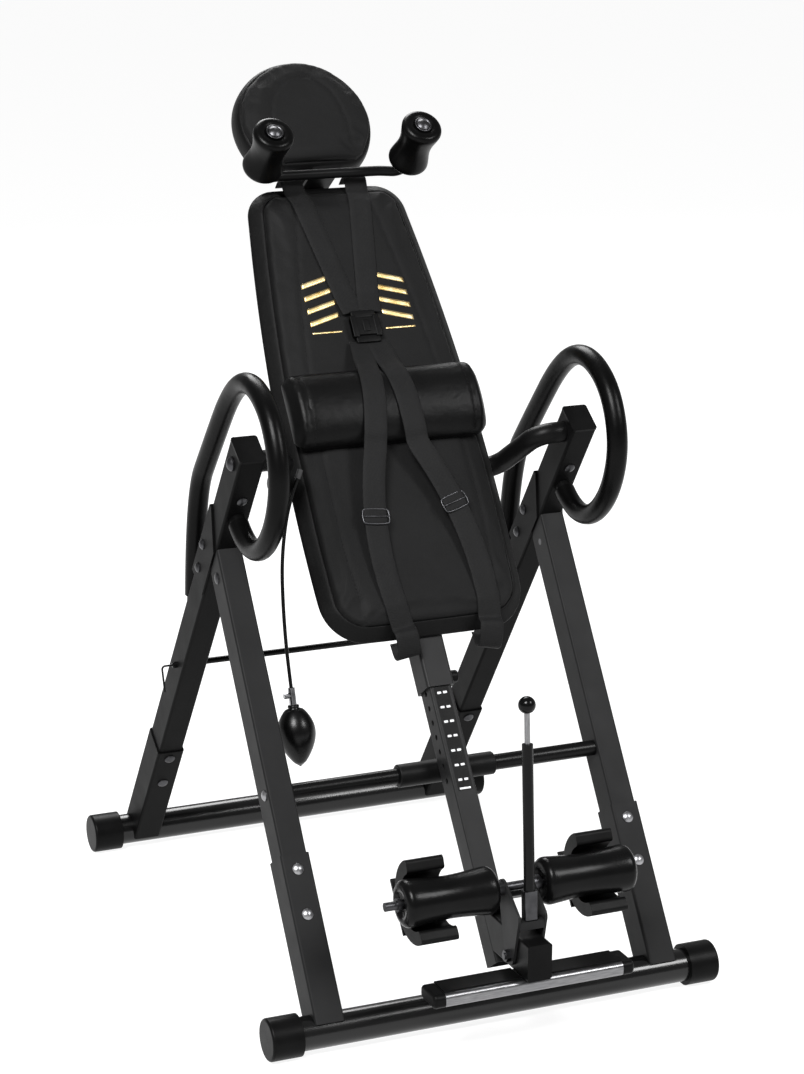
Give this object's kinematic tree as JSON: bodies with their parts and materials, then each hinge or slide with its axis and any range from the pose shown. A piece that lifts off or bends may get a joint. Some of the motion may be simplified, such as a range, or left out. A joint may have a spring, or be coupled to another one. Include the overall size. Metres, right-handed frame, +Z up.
{
  "type": "inversion table",
  "caption": "Folding inversion table: A-frame stand, tilting padded bed on side pivots, sliding boom with roller ankle clamp, headrest, shoulder harness and side handles.",
  "frame": {"origin": "centre of the footprint on the floor", "axes": "+Z up, +X to the right seen from the foot end, -Y towards the foot end"},
  "size_m": [0.72, 1.018, 1.3175],
  "materials": {
    "leg_paint": "satin powder coat",
    "gloss_paint": "gloss black paint",
    "frame_paint": "satin black paint",
    "black_plastic": "moulded, fine texture",
    "foam": "closed-cell foam",
    "moulded_rubber": "moulded rubber",
    "zinc_steel": "zinc plated",
    "lever_steel": "polished steel",
    "knob_plastic": "gloss",
    "cushion_fabric": "woven nylon, matte",
    "board": "painted black plywood",
    "webbing": "woven webbing",
    "hose_rubber": "smooth, semi-gloss",
    "valve_metal": "polished",
    "scale_plastic": "black label with white marks",
    "footrest_metal": "satin"
  },
  "bodies": {
    "rear_frame": {"rear_base_tube": "gloss_paint", "rear_base_caps": "black_plastic", "rear_leg_sockets": "leg_paint", "rear_leg_left": "leg_paint", "rear_leg_right": "leg_paint", "post_caps": "black_plastic", "pivot_bushes": "black_plastic", "hinge_brackets": "leg_paint", "rear_leg_bolts": "zinc_steel", "handle_tubes": "gloss_paint", "handle_grips": "foam"},
    "front_frame": {"front_base_tube": "gloss_paint", "front_base_caps": "black_plastic", "front_leg_sockets": "leg_paint", "front_leg_left": "leg_paint", "front_leg_right": "leg_paint", "hinge_pins": "zinc_steel", "cross_tube": "frame_paint", "cross_tube_sleeve": "moulded_rubber", "front_leg_bolts": "zinc_steel"},
    "limit_pin": {"angle_limit_bar": "gloss_paint", "limit_bar_clip": "gloss_paint"},
    "bed": {"pivot_tube": "frame_paint", "pivot_bolts": "zinc_steel", "back_board": "board", "back_cushion": "cushion_fabric", "lumbar_pad": "cushion_fabric", "spine_tube": "frame_paint", "boom_sleeve": "frame_paint", "head_post": "frame_paint", "shoulder_bar": "frame_paint", "shoulder_grips": "foam", "grip_bolts": "zinc_steel", "harness_straps": "webbing", "harness_buckles": "black_plastic", "air_hose": "hose_rubber", "air_valve": "valve_metal", "air_bulb": "hose_rubber", "hose_fitting": "valve_metal"},
    "headrest": {"headrest_cushion": "cushion_fabric", "headrest_plate": "frame_paint", "headrest_knob": "black_plastic"},
    "height_pin": {"height_pin": "black_plastic"},
    "boom": {"boom_tube": "gloss_paint", "scale_strip": "scale_plastic", "heel_bar": "frame_paint", "heel_pads": "moulded_rubber", "foot_tube": "gloss_paint", "footrest": "footrest_metal", "footrest_tread": "moulded_rubber", "foot_end_caps": "black_plastic"},
    "ankle_arm": {"ankle_arm": "frame_paint", "lever_clevis": "lever_steel", "lever_tube": "gloss_paint", "roller_shaft": "zinc_steel", "ankle_pivot_bolt": "zinc_steel"},
    "pull_rod": {"pull_rod": "lever_steel", "pull_knob": "knob_plastic"},
    "roller_left": {"ankle_roller_left": "foam"},
    "roller_right": {"ankle_roller_right": "foam"}
  },
  "joints": [
    {"name": "frame_fold", "type": "hinge", "parent": "rear_frame", "child": "front_frame", "pos_m": [0, 0.02304, 0.60044], "axis": [1, 0, 0], "range_deg": [0, 60]},
    {"name": "bed_tilt", "type": "hinge", "parent": "rear_frame", "child": "bed", "pos_m": [0, -0.04854, 0.79483], "axis": [-1, 0, 0], "range_deg": [0, 88]},
    {"name": "limit_pin_slide", "type": "slide", "parent": "rear_frame", "child": "limit_pin", "axis": [-1, 0, 0], "range_m": [0, 0.62]},
    {"name": "headrest_slide", "type": "slide", "parent": "bed", "child": "headrest", "axis": [0, 0.5878, 0.809], "range_m": [-0.02, 0.03]},
    {"name": "boom_slide", "type": "slide", "parent": "bed", "child": "boom", "axis": [0, -0.5878, -0.809], "range_m": [-0.159, 0]},
    {"name": "height_pin_pull", "type": "slide", "parent": "bed", "child": "height_pin", "axis": [1, 0, 0], "range_m": [0, 0.01], "stiffness_N_per_m": 800, "springref_m": -0.005},
    {"name": "ankle_arm_swing", "type": "hinge", "parent": "boom", "child": "ankle_arm", "pos_m": [0, -0.4555, 0.142], "axis": [1, 0, 0], "range_deg": [0, 18]},
    {"name": "release_pull", "type": "slide", "parent": "ankle_arm", "child": "pull_rod", "axis": [0, 0.0732, 0.9973], "range_m": [0, 0.012], "stiffness_N_per_m": 800, "springref_m": -0.005},
    {"name": "roller_left_spin", "type": "hinge", "parent": "ankle_arm", "child": "roller_left", "pos_m": [0, -0.42809, 0.235], "axis": [1, 0, 0], "continuous": true},
    {"name": "roller_right_spin", "type": "hinge", "parent": "ankle_arm", "child": "roller_right", "pos_m": [0, -0.42809, 0.235], "axis": [1, 0, 0], "continuous": true}
  ]
}
